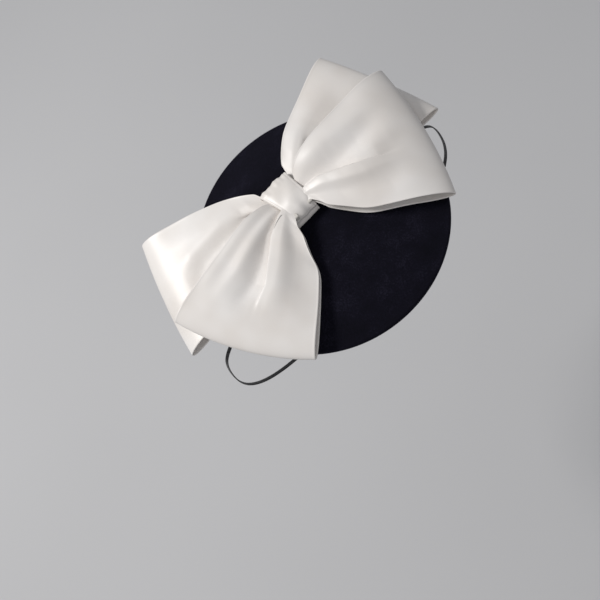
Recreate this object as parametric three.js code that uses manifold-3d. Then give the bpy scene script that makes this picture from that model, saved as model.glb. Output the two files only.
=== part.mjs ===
// A percher headpiece: a shallow velvet-covered disc, worn tilted on the crown of the head,
// with a double satin ribbon bow sewn on top and a hat elastic hanging from two tabs below.
//
// Units are millimetres. The origin is at the middle of the disc, in the plane of its underside
// rim. +Z points out of the head through the dome, +X to the wearer's brow, +Y to the crown.

import * as THREE from 'three';
import { mergeVertices } from 'three/addons/utils/BufferGeometryUtils.js';
import Module from 'manifold-3d';

const wasm = await Module();
wasm.setup();

// ---- driving dimensions -------------------------------------------------------------------

const GAP = 0.3;                    // clearance between neighbouring pieces

// disc base
const DISC_RADIUS = 95;             // outside of the wired velvet rim
const DOME_HEIGHT = 10.5;           // rise of the saucer from its edge to its middle
const FORMER_THICKNESS = 1.2;       // stiffened buckram
const MULLING_THICKNESS = 0.8;      // soft flannel under the velvet
const VELVET_THICKNESS = 0.9;
const LINING_THICKNESS = 0.6;
const PETERSHAM_THICKNESS = 0.7;
const PETERSHAM_WIDTH = 14;
const TURN_UNDER = 12;              // how far the velvet wraps in below the disc
const REST_LAND = 2.4;              // width of the flat ring under the rim
const WIRE_RADIUS = 0.5;
const WIRE_END_GAP = 1;             // space between the wire's two ends
const JOINER_CLEARANCE = 0.2;
const JOINER_WALL = 0.25;
const JOINER_LENGTH = 14;

// bow
const BOW_CENTRE = new THREE.Vector2(-14.5, 13);
const BOW_AXIS_ANGLE = 46.5;        // degrees from +X, the line that the knot band is threaded on
const RIBBON_WALL = 1.6;            // one layer of the loops
const LAYER_GAP = 0.6;              // between a loop's two layers at its waist
const WAIST_HALF_WIDTH = 9;         // a loop gathered under the knot
const LOOP_START = 3.5;             // first gathered edge, measured from the bow's centre
const THREAD = 0.7;                 // sewing thread, doubled
const BINDING_WIDTH = 3;            // the wound thread around a waist
const BAND_WALL = 1.2;
const BAND_LENGTH = 22.5;           // along the bow's axis
const BAND_SIDE_ROOM = 7.3;         // inside the band, past a gathered waist's edge
const BAND_CORNER = 5;
const BAND_HALF_WIDTH = WAIST_HALF_WIDTH + BAND_SIDE_ROOM + BAND_WALL;
const STITCH_HALF_SPAN = 2.6;       // between the middle of a tack stitch and each of its legs
const STITCH_HOLE_RADIUS = 0.85;

// one entry for each loop: heading in degrees from +X, reach to the middle of the fold, half of
// the width at the fold, how far the fold bows out past its corners, how much further the left
// corner reaches than the right one (halved), how fast each side widens (0.5 is a parabola lying
// on its side), heights of the top layer over the seat at the belly and at the fold, tilt of the
// top layer (the rise from its middle to its left edge), the space between the layers at the
// belly and at the fold, and the length over which the fold rounds off
const LOOPS = [
  { name: 'front_loop_upper', level: 1, heading: 27, reach: 107, halfWidth: 53, bow: 5, slant: 0,
    leftPower: 0.58, rightPower: 0.4, belly: 18.4, fold: 14, tilt: 8.5, bellyGap: 11,
    foldGap: 11, foldRun: 12 },
  { name: 'front_loop_lower', level: 1, heading: 253.5, reach: 113, halfWidth: 53, bow: 7,
    slant: -1.5, leftPower: 0.62, rightPower: 0.6, belly: 15.2, fold: 10.5, tilt: -8.5,
    bellyGap: 8.5, foldGap: 11, foldRun: 12 },
  { name: 'back_loop_upper', level: 0, heading: 60, reach: 114.5, halfWidth: 49, bow: 2.5,
    slant: -2.5, leftPower: 0.3, rightPower: 0.46, belly: 5.2, fold: -0.6, tilt: 5, bellyGap: 5,
    foldGap: 9.5, foldRun: 8 },
  { name: 'back_loop_lower', level: 0, heading: 212, reach: 119.5, halfWidth: 48, bow: 2.5,
    slant: 3.5, leftPower: 0.46, rightPower: 0.32, belly: 3, fold: -4, tilt: -3.2, bellyGap: 4,
    foldGap: 11.5, foldRun: 8 },
];
const SPREAD_DELAY = 1;             // a loop starts to widen this far past the knot band
const SPREAD_ONSET = 24;            // how sharply it starts to widen
const MIN_LAYER_SPACE = 2.3;        // between the middles of the two layers

// hat elastic
const TAB_ANGLE = 50;               // degrees from +X of the line through both tabs
const TAB_WIDTH = 10;
const TAB_WALL = 1.2;
const TAB_FLANGE = 9.5;
const TAB_DROP = 8.6;               // from the rim's plane down to the end of a tab
const TAB_INSET = 9.8;              // from the disc's edge in to a tab's outer face
const ELASTIC_WIDTH = 3;
const ELASTIC_THICKNESS = 1;
const HOLE_CLEARANCE = 0.4;
const AXIS_DROP = 4.5;              // the elastic's holes, below the rim's plane
const KNOT_RADIUS = 2.6;

// half of the hanging elastic in the upright plane through both tabs: [distance from the disc's
// middle, height]. It springs out of its eyelet, falls, and hangs in a wide U.
const ELASTIC_HALF = [
  [84.3, -4.5], [89, -4.6], [94, -5.4], [99.5, -8.2], [106.2, -13.2], [112.3, -18.6],
  [116.8, -25.5], [119.8, -36], [121.6, -50], [121.8, -64], [119.4, -78], [113.2, -91],
  [103.2, -102], [90, -110.6], [74.5, -117], [57.5, -121.4], [39.5, -124], [21, -125.4],
  [7, -125.8],
];
const ELASTIC_ROUTE = [
  ...ELASTIC_HALF,
  ...ELASTIC_HALF.map(([a, z]) => [-a, z]).reverse(),
];

// mesh density
const ROUND_SEGMENTS = 48;
const DOME_RINGS = 6;
const RIM_ARC_STEPS = 6;
const WIRE_STEPS = 60;
const LAYER_STATIONS = 9;
const FOLD_STATIONS = 5;
const ACROSS_STATIONS = 6;
const ELASTIC_STEPS = 62;

// ---- materials ----------------------------------------------------------------------------

function finish(color, roughness, metalness = 0) {
  return new THREE.MeshStandardMaterial({ color, roughness, metalness });
}

const MATERIALS = {
  velvet: () => finish(0x14131d, 0.95),
  buckram: () => finish(0xd9cfb8, 0.9),
  mulling: () => finish(0x2b2b30, 0.95),
  lining: () => finish(0x17161c, 0.45),
  petersham: () => finish(0x18171c, 0.8),
  satin: () => finish(0xe9e4dd, 0.35),
  thread: () => finish(0xded8cf, 0.7),
  darkThread: () => finish(0x1c1b22, 0.7),
  elastic: () => finish(0x121214, 0.8),
  wire: () => finish(0x9a9a9c, 0.35, 1),
};

// ---- helpers ------------------------------------------------------------------------------

const radians = THREE.MathUtils.degToRad;
const smooth = (t) => THREE.MathUtils.smoothstep(t, 0, 1);
const point2 = (x, y) => new THREE.Vector2(x, y);

// a unit vector in the XY plane
function direction(degrees) {
  return point2(Math.cos(radians(degrees)), Math.sin(radians(degrees)));
}

const object = new THREE.Group();

function add(name, geometry, material) {
  const mesh = new THREE.Mesh(geometry, material);
  mesh.name = name;
  object.add(mesh);
  return mesh;
}

// a closed geometry as a solid: positions only, shared corners merged, no collapsed triangles
function solidOf(geometry) {
  const bare = geometry.clone();
  bare.deleteAttribute('normal');
  bare.deleteAttribute('uv');
  const merged = mergeVertices(bare, 1e-4);
  const index = merged.index.array;
  const kept = [];
  for (let i = 0; i < index.length; i += 3) {
    const [a, b, c] = [index[i], index[i + 1], index[i + 2]];
    if (a !== b && b !== c && c !== a) {
      kept.push(a, b, c);
    }
  }
  return new wasm.Manifold(new wasm.Mesh({
    numProp: 3,
    vertProperties: new Float32Array(merged.attributes.position.array),
    triVerts: new Uint32Array(kept),
  }));
}

function geometryOf(solid) {
  const { numProp, vertProperties, triVerts } = solid.getMesh();
  const positions = new Float32Array((vertProperties.length / numProp) * 3);
  for (let i = 0; i < positions.length / 3; i += 1) {
    positions.set(vertProperties.subarray(i * numProp, i * numProp + 3), i * 3);
  }
  const geometry = new THREE.BufferGeometry();
  geometry.setAttribute('position', new THREE.BufferAttribute(positions, 3));
  geometry.setIndex(new THREE.BufferAttribute(new Uint32Array(triVerts), 1));
  geometry.computeVertexNormals();
  return geometry;
}

function cut(geometry, cutters) {
  const holes = cutters.map(solidOf);
  return geometryOf(holes.reduce((solid, hole) => solid.subtract(hole), solidOf(geometry)));
}

// a closed section [radius, height] turned around +Z; the section runs counter-clockwise
function turned(section) {
  const points = section.map(([r, z]) => point2(r, z));
  const onAxis = section[0][0] === 0 && section.at(-1)[0] === 0;
  if (!onAxis) {
    points.push(points[0].clone());
  }
  return new THREE.LatheGeometry(points, ROUND_SEGMENTS).rotateX(Math.PI / 2);
}

// a flat outline pushed along its own normal, centred on it
function slab(shape, depth) {
  const settings = { depth, bevelEnabled: false, curveSegments: 4 };
  return new THREE.ExtrudeGeometry(shape, settings).translate(0, 0, -depth / 2);
}

// an upright outline: its x runs along the given direction, its y runs up, its depth across
function standUp(geometry, degrees) {
  return geometry.rotateX(Math.PI / 2).rotateZ(radians(degrees));
}

function roundedRectangle(halfWidth, low, high, corner, PathType = THREE.Shape) {
  const outline = new PathType();
  const r = Math.min(corner, (high - low) / 2 - 0.01);
  outline.absarc(halfWidth - r, low + r, r, -Math.PI / 2, 0);
  outline.absarc(halfWidth - r, high - r, r, 0, Math.PI / 2);
  outline.absarc(-halfWidth + r, high - r, r, Math.PI / 2, Math.PI);
  outline.absarc(-halfWidth + r, low + r, r, Math.PI, Math.PI * 1.5);
  outline.closePath();
  return outline;
}

// ---- the stack of the disc's layers -------------------------------------------------------

// Every layer follows one saucer curve, raised by its own offset.
const RIM_INNER = WIRE_RADIUS + JOINER_CLEARANCE + JOINER_WALL + JOINER_CLEARANCE + 0.05;
const RIM_OUTER = RIM_INNER + VELVET_THICKNESS;
const RIM_CENTRE = DISC_RADIUS - RIM_OUTER;           // radius of the wire's circle
const SAUCER_RADIUS = RIM_CENTRE - REST_LAND + 0.5;   // where the saucer curve meets the rim's plane
const KNEE = RIM_CENTRE - REST_LAND - 2.5;            // where the rim's roll begins

const TURN_TOP = VELVET_THICKNESS;
const LINING_TOP = TURN_TOP;
const FORMER_LOW = TURN_TOP + GAP;
const FORMER_TOP = FORMER_LOW + FORMER_THICKNESS;
const MULLING_LOW = FORMER_TOP + GAP;
const MULLING_TOP = MULLING_LOW + MULLING_THICKNESS;
const VELVET_LOW = MULLING_TOP + GAP;
const VELVET_TOP = VELVET_LOW + VELVET_THICKNESS;
const PETERSHAM_TOP = -GAP;
const PETERSHAM_LOW = PETERSHAM_TOP - PETERSHAM_THICKNESS;

const TURN_EDGE = RIM_CENTRE - TURN_UNDER;            // inner edge of the turned-under velvet
const LINING_RADIUS = TURN_EDGE - GAP;
const PETERSHAM_OUTER = KNEE - 1.5;
const PETERSHAM_INNER = PETERSHAM_OUTER - PETERSHAM_WIDTH;
const FORMER_RADIUS = RIM_CENTRE - RIM_INNER - 0.3;
const MULLING_RADIUS = KNEE;

function saucer(radius) {
  return DOME_HEIGHT * (1 - (radius / SAUCER_RADIUS) ** 2);
}

// radii shared by every layer, so that their facets stay parallel
function ringsTo(limit) {
  const shared = [];
  for (let i = 0; i <= DOME_RINGS; i += 1) {
    shared.push((KNEE * i) / DOME_RINGS);
  }
  return [...shared.filter((r) => r < limit - 1), limit];
}

// a layer of the stack from the axis out to a radius
function layerSection(low, high, limit) {
  const radii = ringsTo(limit);
  const under = radii.map((r) => [r, saucer(r) + low]);
  const over = radii.map((r) => [r, saucer(r) + high]).reverse();
  return [...under, ...over];
}

function rimArc(radius, from, to) {
  const arc = [];
  for (let i = 0; i <= RIM_ARC_STEPS; i += 1) {
    const angle = radians(from + ((to - from) * i) / RIM_ARC_STEPS);
    arc.push([RIM_CENTRE + radius * Math.cos(angle), RIM_OUTER + radius * Math.sin(angle)]);
  }
  return arc;
}

function velvetSection() {
  const dome = ringsTo(KNEE);
  const inner = dome.map((r) => [r, saucer(r) + VELVET_LOW]);
  const outer = dome.map((r) => [r, saucer(r) + VELVET_TOP]).reverse();
  const land = RIM_CENTRE - REST_LAND;
  const thickness = VELVET_THICKNESS;
  return [
    ...inner,
    ...rimArc(RIM_INNER, 90, -90),
    [land, thickness],
    [KNEE, saucer(KNEE) + TURN_TOP],
    [TURN_EDGE, saucer(TURN_EDGE) + TURN_TOP],
    [TURN_EDGE, saucer(TURN_EDGE)],
    [KNEE, saucer(KNEE)],
    [land, 0],
    ...rimArc(RIM_OUTER, -90, 90),
    ...outer,
  ];
}

// height of the disc's top at a place; outside the rim there is no disc below the bow
function discTop(x, y) {
  const radius = Math.hypot(x, y);
  if (radius > DISC_RADIUS + 1) {
    return -Infinity;
  }
  return Math.max(saucer(Math.min(radius, KNEE)) + VELVET_TOP - Math.max(0, radius - KNEE) * 0.2, 0);
}

// ---- the bow's levels ---------------------------------------------------------------------

const SEAT = DOME_HEIGHT + VELVET_TOP;                // top of the dome
const BAND_LOW = SEAT + GAP;
const BAND_INNER_LOW = BAND_LOW + BAND_WALL;
const WAIST_HEIGHT = 2 * RIBBON_WALL + LAYER_GAP;     // both layers of one gathered loop
const LEVEL_HEIGHT = WAIST_HEIGHT + 2 * (THREAD + GAP) + GAP;
const BAND_INNER_HIGH = BAND_INNER_LOW + GAP + 2 * LEVEL_HEIGHT + 2 * GAP;
const BAND_HIGH = BAND_INNER_HIGH + BAND_WALL;

// the lowest point of a gathered loop's lower layer; level 0 is the back pair, 1 the front pair
function waistLow(level) {
  return BAND_INNER_LOW + 2 * GAP + THREAD + level * LEVEL_HEIGHT;
}

// ---- stitches through the disc ------------------------------------------------------------

const AXIS_DIRECTION = direction(BOW_AXIS_ANGLE);
const ACROSS_DIRECTION = direction(BOW_AXIS_ANGLE + 90);

function bowPlace(along, across) {
  return BOW_CENTRE.clone()
    .addScaledVector(AXIS_DIRECTION, along)
    .addScaledVector(ACROSS_DIRECTION, across);
}

// one stitch each side of the bow's axis, where the band's floor is still flat
const STITCH_OFFSET = BAND_HALF_WIDTH - BAND_CORNER - THREAD / 2;
const STITCHES = [
  { name: 'bow_stitch_left', across: STITCH_OFFSET },
  { name: 'bow_stitch_right', across: -STITCH_OFFSET },
];

function stitchHoles() {
  const tall = 4 * SEAT;
  return STITCHES.flatMap(({ across }) => [-1, 1].map((side) => {
    const place = bowPlace(side * STITCH_HALF_SPAN, across);
    return new THREE.CylinderGeometry(STITCH_HOLE_RADIUS, STITCH_HOLE_RADIUS, tall, 6)
      .rotateX(Math.PI / 2)
      .translate(place.x, place.y, 0);
  }));
}

// an upright staple of thread, its two feet turned in below the lining
function addStitches() {
  for (const { name, across } of STITCHES) {
    const middle = bowPlace(0, across);
    const low = saucer(middle.length() + STITCH_HALF_SPAN) + LINING_TOP - LINING_THICKNESS
      - GAP - THREAD;
    const high = BAND_INNER_LOW + GAP + THREAD;
    const out = STITCH_HALF_SPAN + THREAD / 2;
    const inside = STITCH_HALF_SPAN - THREAD / 2;
    const foot = THREAD / 2;
    const corners = [
      [-out, low], [-foot, low], [-foot, low + THREAD], [-inside, low + THREAD],
      [-inside, high - THREAD], [inside, high - THREAD], [inside, low + THREAD],
      [foot, low + THREAD], [foot, low], [out, low], [out, high], [-out, high],
    ];
    const outline = new THREE.Shape(corners.map(([x, y]) => point2(x, y)));
    const geometry = standUp(slab(outline, THREAD), BOW_AXIS_ANGLE);
    add(name, geometry.translate(middle.x, middle.y, 0), MATERIALS.thread());
  }
}

// ---- disc pieces --------------------------------------------------------------------------

function addDisc() {
  const holes = stitchHoles();
  const layers = [
    ['base_former', layerSection(FORMER_LOW, FORMER_TOP, FORMER_RADIUS), MATERIALS.buckram],
    ['mulling_layer', layerSection(MULLING_LOW, MULLING_TOP, MULLING_RADIUS), MATERIALS.mulling],
    ['velvet_cover', velvetSection(), MATERIALS.velvet],
    ['lining', layerSection(LINING_TOP - LINING_THICKNESS, LINING_TOP, LINING_RADIUS),
      MATERIALS.lining],
  ];
  for (const [name, section, material] of layers) {
    add(name, cut(turned(section), holes), material());
  }
  const ribbonRadii = [PETERSHAM_INNER, (PETERSHAM_INNER + PETERSHAM_OUTER) / 2, PETERSHAM_OUTER];
  const under = ribbonRadii.map((r) => [r, saucer(r) + PETERSHAM_LOW]);
  const over = ribbonRadii.map((r) => [r, saucer(r) + PETERSHAM_TOP]).reverse();
  add('petersham_ring', turned([...under, ...over]), MATERIALS.petersham());
}

// an arc of the rim's circle, in degrees, for pieces that follow the wire
class RimArc extends THREE.Curve {
  constructor(from, to) {
    super();
    this.from = from;
    this.to = to;
  }

  getPoint(t, target = new THREE.Vector3()) {
    const angle = radians(this.from + (this.to - this.from) * t);
    return target.set(RIM_CENTRE * Math.cos(angle), RIM_CENTRE * Math.sin(angle), RIM_OUTER);
  }
}

function disc(radius, sides, PathType = THREE.Shape) {
  const corners = [];
  for (let i = 0; i < sides; i += 1) {
    const angle = (2 * Math.PI * i) / sides;
    corners.push(point2(radius * Math.cos(angle), radius * Math.sin(angle)));
  }
  return new PathType(corners);
}

function addRimWire() {
  const perDegree = (Math.PI * RIM_CENTRE) / 180;
  const joint = 180 + TAB_ANGLE - 40;                  // where the wire's ends meet
  const open = WIRE_END_GAP / perDegree / 2;
  const wirePath = new RimArc(joint + open, joint + 360 - open);
  const wire = new THREE.ExtrudeGeometry(disc(WIRE_RADIUS, 6), {
    steps: WIRE_STEPS, extrudePath: wirePath, bevelEnabled: false,
  });
  add('rim_wire', wire, MATERIALS.wire());

  const bore = WIRE_RADIUS + JOINER_CLEARANCE;
  const sleeve = disc(bore + JOINER_WALL, 8);
  sleeve.holes.push(disc(bore, 8, THREE.Path));
  const half = JOINER_LENGTH / perDegree / 2;
  const joiner = new THREE.ExtrudeGeometry(sleeve, {
    steps: 6, extrudePath: new RimArc(joint - half, joint + half), bevelEnabled: false,
  });
  add('wire_joiner', joiner, MATERIALS.wire());
}

// ---- bow pieces ---------------------------------------------------------------------------

// distance along a loop at which it has left the knot band and starts to widen
function spreadStart(loop) {
  const slant = radians(loop.heading - BOW_AXIS_ANGLE);
  return (BAND_LENGTH / 2 + SPREAD_DELAY) / Math.abs(Math.cos(slant));
}

// the middle surface of one loop's ribbon: station t runs from the waist (0) out along the top,
// round the fold and back below to the waist (1); q runs across, -1 to 1, left edge positive
function loopSurface(loop) {
  const heading = direction(loop.heading);
  const sideOut = direction(loop.heading + 90);
  const turn = Math.abs(loop.heading - BOW_AXIS_ANGLE) < 90 ? 90 : -90;
  const sideIn = direction(BOW_AXIS_ANGLE + turn);
  const waistTop = waistLow(loop.level) + WAIST_HEIGHT - RIBBON_WALL / 2;
  const waistGap = RIBBON_WALL + LAYER_GAP;
  const first = spreadStart(loop);

  function place(u, q) {
    const out = Math.max(0, (u - first) / (loop.reach - first));
    const power = q > 0 ? loop.leftPower : loop.rightPower;
    const halfWidth = WAIST_HALF_WIDTH
      + (loop.halfWidth - WAIST_HALF_WIDTH) * smooth(out * SPREAD_ONSET) * out ** power;
    const side = sideIn.clone().lerp(sideOut, smooth((u - first) / 25)).normalize();
    return BOW_CENTRE.clone().addScaledVector(heading, u).addScaledVector(side, q * halfWidth);
  }

  // heights of both layers at distance u; a loop rises to its belly and sinks to its fold
  function heights(u, q) {
    const spot = place(u, q);
    const s = Math.max(0, (u - first) / (loop.reach - first));
    const rise = smooth(s / 0.3);
    const sink = smooth((s - 0.45) / 0.55);
    const middle = SEAT + loop.belly + (loop.fold - loop.belly) * sink;
    const aim = middle + loop.tilt * q;
    const space = loop.bellyGap + (loop.foldGap - loop.bellyGap) * sink;
    const floor = discTop(spot.x, spot.y) + GAP + RIBBON_WALL / 2 + 0.2;
    const gap = waistGap + (space - waistGap) * rise;
    const ease = waistTop + (aim - waistTop) * rise;
    const bottom = Math.max(ease - gap, s > 0 ? floor : -Infinity);
    const top = Math.max(ease, bottom + (s > 0 ? MIN_LAYER_SPACE : waistGap));
    return { spot, top, bottom };
  }

  const rows = [];
  for (let j = 0; j <= ACROSS_STATIONS; j += 1) {
    const q = (2 * j) / ACROSS_STATIONS - 1;
    const reach = loop.reach - loop.bow * q * q + loop.slant * q;
    const foldStart = reach - loop.foldRun;
    const row = [];
    const uAt = (i) => (i === 0 ? LOOP_START
      : first + (foldStart - first) * ((i - 1) / (LAYER_STATIONS - 2)) ** 1.2);
    for (let i = 0; i < LAYER_STATIONS; i += 1) {
      const { spot, top } = heights(uAt(i), q);
      row.push(new THREE.Vector3(spot.x, spot.y, top));
    }
    const start = heights(foldStart, q);
    const middleZ = (start.top + start.bottom) / 2;
    const halfZ = (start.top - start.bottom) / 2;
    for (let i = 1; i <= FOLD_STATIONS; i += 1) {
      const angle = Math.PI / 2 - (Math.PI * i) / (FOLD_STATIONS + 1);
      const spot = place(foldStart + loop.foldRun * Math.cos(angle), q);
      row.push(new THREE.Vector3(spot.x, spot.y, middleZ + halfZ * Math.sin(angle)));
    }
    for (let i = LAYER_STATIONS - 1; i >= 0; i -= 1) {
      const { spot, bottom } = heights(uAt(i), q);
      row.push(new THREE.Vector3(spot.x, spot.y, bottom));
    }
    rows.push(row);
  }
  return rows;
}

// thickens a grid of points, rows[across][along], into one closed body
function thickened(rows, wall) {
  const across = rows.length;
  const along = rows[0].length;
  const positions = [];
  const triangles = [];
  const at = (j, i) => rows[THREE.MathUtils.clamp(j, 0, across - 1)][THREE.MathUtils.clamp(i, 0, along - 1)];
  for (const side of [1, -1]) {
    for (let j = 0; j < across; j += 1) {
      for (let i = 0; i < along; i += 1) {
        const sideways = at(j + 1, i).clone().sub(at(j - 1, i));
        const forwards = at(j, i + 1).clone().sub(at(j, i - 1));
        const normal = forwards.cross(sideways).normalize();
        const spot = at(j, i).clone().addScaledVector(normal, (side * wall) / 2);
        positions.push(spot.x, spot.y, spot.z);
      }
    }
  }
  const layer = across * along;
  const id = (side, j, i) => side * layer + j * along + i;
  const quad = (a, b, c, d) => triangles.push(a, b, c, a, c, d);
  for (let j = 0; j < across - 1; j += 1) {
    for (let i = 0; i < along - 1; i += 1) {
      quad(id(0, j, i), id(0, j, i + 1), id(0, j + 1, i + 1), id(0, j + 1, i));
      quad(id(1, j, i), id(1, j + 1, i), id(1, j + 1, i + 1), id(1, j, i + 1));
    }
  }
  for (let i = 0; i < along - 1; i += 1) {
    quad(id(0, 0, i), id(1, 0, i), id(1, 0, i + 1), id(0, 0, i + 1));
    quad(id(0, across - 1, i), id(0, across - 1, i + 1), id(1, across - 1, i + 1), id(1, across - 1, i));
  }
  for (let j = 0; j < across - 1; j += 1) {
    quad(id(0, j, 0), id(0, j + 1, 0), id(1, j + 1, 0), id(1, j, 0));
    quad(id(0, j, along - 1), id(1, j, along - 1), id(1, j + 1, along - 1), id(0, j + 1, along - 1));
  }
  const geometry = new THREE.BufferGeometry();
  geometry.setAttribute('position', new THREE.Float32BufferAttribute(positions, 3));
  geometry.setIndex(triangles);
  geometry.computeVertexNormals();
  return geometry;
}

function addLoops() {
  for (const loop of LOOPS) {
    add(loop.name, thickened(loopSurface(loop), RIBBON_WALL), MATERIALS.satin());
  }
}

// the thread wound around each gathered waist, square to the bow's axis
function addBindings() {
  const along = (LOOP_START + BAND_LENGTH / 2) / 2;
  for (const loop of LOOPS) {
    const slant = radians(loop.heading - BOW_AXIS_ANGLE);
    const side = Math.sign(Math.cos(slant));
    const centre = bowPlace(side * along, side * along * Math.tan(slant));
    const low = waistLow(loop.level) - GAP;
    const high = waistLow(loop.level) + WAIST_HEIGHT + GAP;
    const halfWidth = WAIST_HALF_WIDTH + GAP + (BINDING_WIDTH / 2) * Math.abs(Math.tan(slant));
    const ring = roundedRectangle(halfWidth + THREAD, low - THREAD, high + THREAD, THREAD + 0.4);
    ring.holes.push(roundedRectangle(halfWidth, low, high, 0.4, THREE.Path));
    const geometry = standUp(slab(ring, BINDING_WIDTH), BOW_AXIS_ANGLE + 90);
    const name = loop.name.replace('loop', 'binding');
    add(name, geometry.translate(centre.x, centre.y, 0), MATERIALS.thread());
  }
}

function addKnotBand() {
  const ring = roundedRectangle(BAND_HALF_WIDTH, BAND_LOW, BAND_HIGH, BAND_CORNER);
  const inside = BAND_HALF_WIDTH - BAND_WALL;
  const corner = BAND_CORNER - BAND_WALL;
  ring.holes.push(
    roundedRectangle(inside, BAND_INNER_LOW, BAND_INNER_HIGH, corner, THREE.Path),
  );
  const geometry = standUp(slab(ring, BAND_LENGTH), BOW_AXIS_ANGLE + 90)
    .translate(BOW_CENTRE.x, BOW_CENTRE.y, 0);
  const punches = STITCHES.flatMap(({ across }) => [-1, 1].map((side) => {
    const place = bowPlace(side * STITCH_HALF_SPAN, across);
    return new THREE.CylinderGeometry(STITCH_HOLE_RADIUS, STITCH_HOLE_RADIUS, 4 * BAND_WALL, 6)
      .rotateX(Math.PI / 2)
      .translate(place.x, place.y, (BAND_LOW + BAND_INNER_LOW) / 2);
  }));
  add('knot_band', cut(geometry, punches), MATERIALS.satin());
}

// ---- elastic, its tabs and knots ----------------------------------------------------------

const TAB_FACE = DISC_RADIUS - TAB_INSET;

// a round eyelet lets the flat braid turn in it as the elastic swings
const HOLE_RADIUS = Math.hypot(ELASTIC_WIDTH, ELASTIC_THICKNESS) / 2 + HOLE_CLEARANCE;

// a folded ribbon tab: a flange under the petersham ring and an upright leaf with its eyelet
function tabGeometry() {
  const under = (r) => saucer(r) + PETERSHAM_LOW - GAP;
  const inner = TAB_FACE - TAB_FLANGE;
  const back = TAB_FACE - TAB_WALL;
  const outline = new THREE.Shape([
    point2(inner, under(inner) - TAB_WALL),
    point2(back, under(back) - TAB_WALL),
    point2(back, -TAB_DROP),
    point2(TAB_FACE, -TAB_DROP),
    point2(TAB_FACE, under(TAB_FACE) - 0.1),
    point2(inner, under(inner) - 0.1),
  ]);
  const hole = new THREE.CylinderGeometry(HOLE_RADIUS, HOLE_RADIUS, 4 * TAB_WALL, 16)
    .rotateZ(Math.PI / 2)
    .translate(TAB_FACE - TAB_WALL / 2, 0, -AXIS_DROP);
  return cut(standUp(slab(outline, TAB_WIDTH), 0), [hole]);
}

class ElasticPath extends THREE.CatmullRomCurve3 {
  constructor() {
    const along = direction(TAB_ANGLE);
    super(ELASTIC_ROUTE.map(([a, z]) => new THREE.Vector3(a * along.x, a * along.y, z)),
      false, 'centripetal');
  }
}

// flat braid: eight corners, its width lying across the plane of the U
function braidSection() {
  const w = ELASTIC_WIDTH / 2;
  const t = ELASTIC_THICKNESS / 2;
  const c = ELASTIC_THICKNESS / 4;
  return new THREE.Shape([
    point2(-t, -w + c), point2(-t + c, -w), point2(t - c, -w), point2(t, -w + c),
    point2(t, w - c), point2(t - c, w), point2(-t + c, w), point2(-t, w - c),
  ]);
}

function addElastic() {
  for (const [name, knot, angle] of [
    ['elastic_tab_right', 'elastic_knot_right', TAB_ANGLE],
    ['elastic_tab_left', 'elastic_knot_left', TAB_ANGLE + 180],
  ]) {
    add(name, tabGeometry().rotateZ(radians(angle)), MATERIALS.petersham());
    const reach = TAB_FACE - TAB_WALL - GAP - KNOT_RADIUS;
    const ball = new THREE.IcosahedronGeometry(KNOT_RADIUS, 1)
      .translate(reach, 0, -AXIS_DROP)
      .rotateZ(radians(angle));
    add(knot, ball, MATERIALS.elastic());
  }
  const braid = new THREE.ExtrudeGeometry(braidSection(), {
    steps: ELASTIC_STEPS, extrudePath: new ElasticPath(), bevelEnabled: false,
  });
  add('hat_elastic', braid, MATERIALS.elastic());
}

addDisc();
addRimWire();
addLoops();
addBindings();
addKnotBand();
addStitches();
addElastic();

export default object;
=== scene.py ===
"""A percher headpiece seen from above: a velvet-covered disc with a double satin ribbon bow and a
hanging hat elastic. Lengths are in metres, and MM turns millimetres into metres."""

import math

import bmesh
import bpy
import numpy as np
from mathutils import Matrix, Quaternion, Vector


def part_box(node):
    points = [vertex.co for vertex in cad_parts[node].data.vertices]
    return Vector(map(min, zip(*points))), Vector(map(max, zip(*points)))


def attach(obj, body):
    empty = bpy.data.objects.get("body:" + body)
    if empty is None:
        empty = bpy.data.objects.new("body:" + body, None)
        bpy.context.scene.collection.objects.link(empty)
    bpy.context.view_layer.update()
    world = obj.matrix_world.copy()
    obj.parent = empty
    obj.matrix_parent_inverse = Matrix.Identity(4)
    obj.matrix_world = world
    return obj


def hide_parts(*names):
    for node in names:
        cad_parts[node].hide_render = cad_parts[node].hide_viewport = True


MM = 0.001

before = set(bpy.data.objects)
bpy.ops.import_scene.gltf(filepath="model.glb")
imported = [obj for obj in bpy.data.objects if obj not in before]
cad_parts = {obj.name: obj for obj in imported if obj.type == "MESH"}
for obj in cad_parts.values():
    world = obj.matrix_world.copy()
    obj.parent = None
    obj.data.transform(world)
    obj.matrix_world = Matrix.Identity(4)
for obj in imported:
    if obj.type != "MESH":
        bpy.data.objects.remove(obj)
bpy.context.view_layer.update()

ROOT = "headpiece"
SWING = "elastic_loop"

# ---- places taken from the frame ------------------------------------------------------------

band_low, band_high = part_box("knot_band")
velvet_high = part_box("velvet_cover")[1]

BOW_CENTRE = np.array([(band_low.x + band_high.x) / 2, (band_low.y + band_high.y) / 2])
BAND_LOW = band_low.z
BAND_HIGH = band_high.z
DISC_RADIUS = velvet_high.x
SEAT = velvet_high.z

# ---- camera ---------------------------------------------------------------------------------

CAMERA_PLACE = Vector((0.2133, -0.3176, 0.7039))
CAMERA_AIM = Vector((-0.0066, -0.0608, 0.0200))
CAMERA_ROLL = math.radians(-40.6)
CAMERA_LENS = 66.3
CAMERA_SENSOR = 36.0


def make_camera():
    data = bpy.data.cameras.new("camera")
    data.lens = CAMERA_LENS
    data.sensor_width = CAMERA_SENSOR
    data.clip_start = 0.01
    data.clip_end = 20
    camera = bpy.data.objects.new("camera", data)
    bpy.context.scene.collection.objects.link(camera)
    look = (CAMERA_AIM - CAMERA_PLACE).to_track_quat("-Z", "Y")
    camera.rotation_mode = "QUATERNION"
    camera.rotation_quaternion = look @ Quaternion((0, 0, 1), CAMERA_ROLL)
    camera.location = CAMERA_PLACE
    bpy.context.scene.camera = camera


make_camera()

# ---- small tools ----------------------------------------------------------------------------


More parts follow.
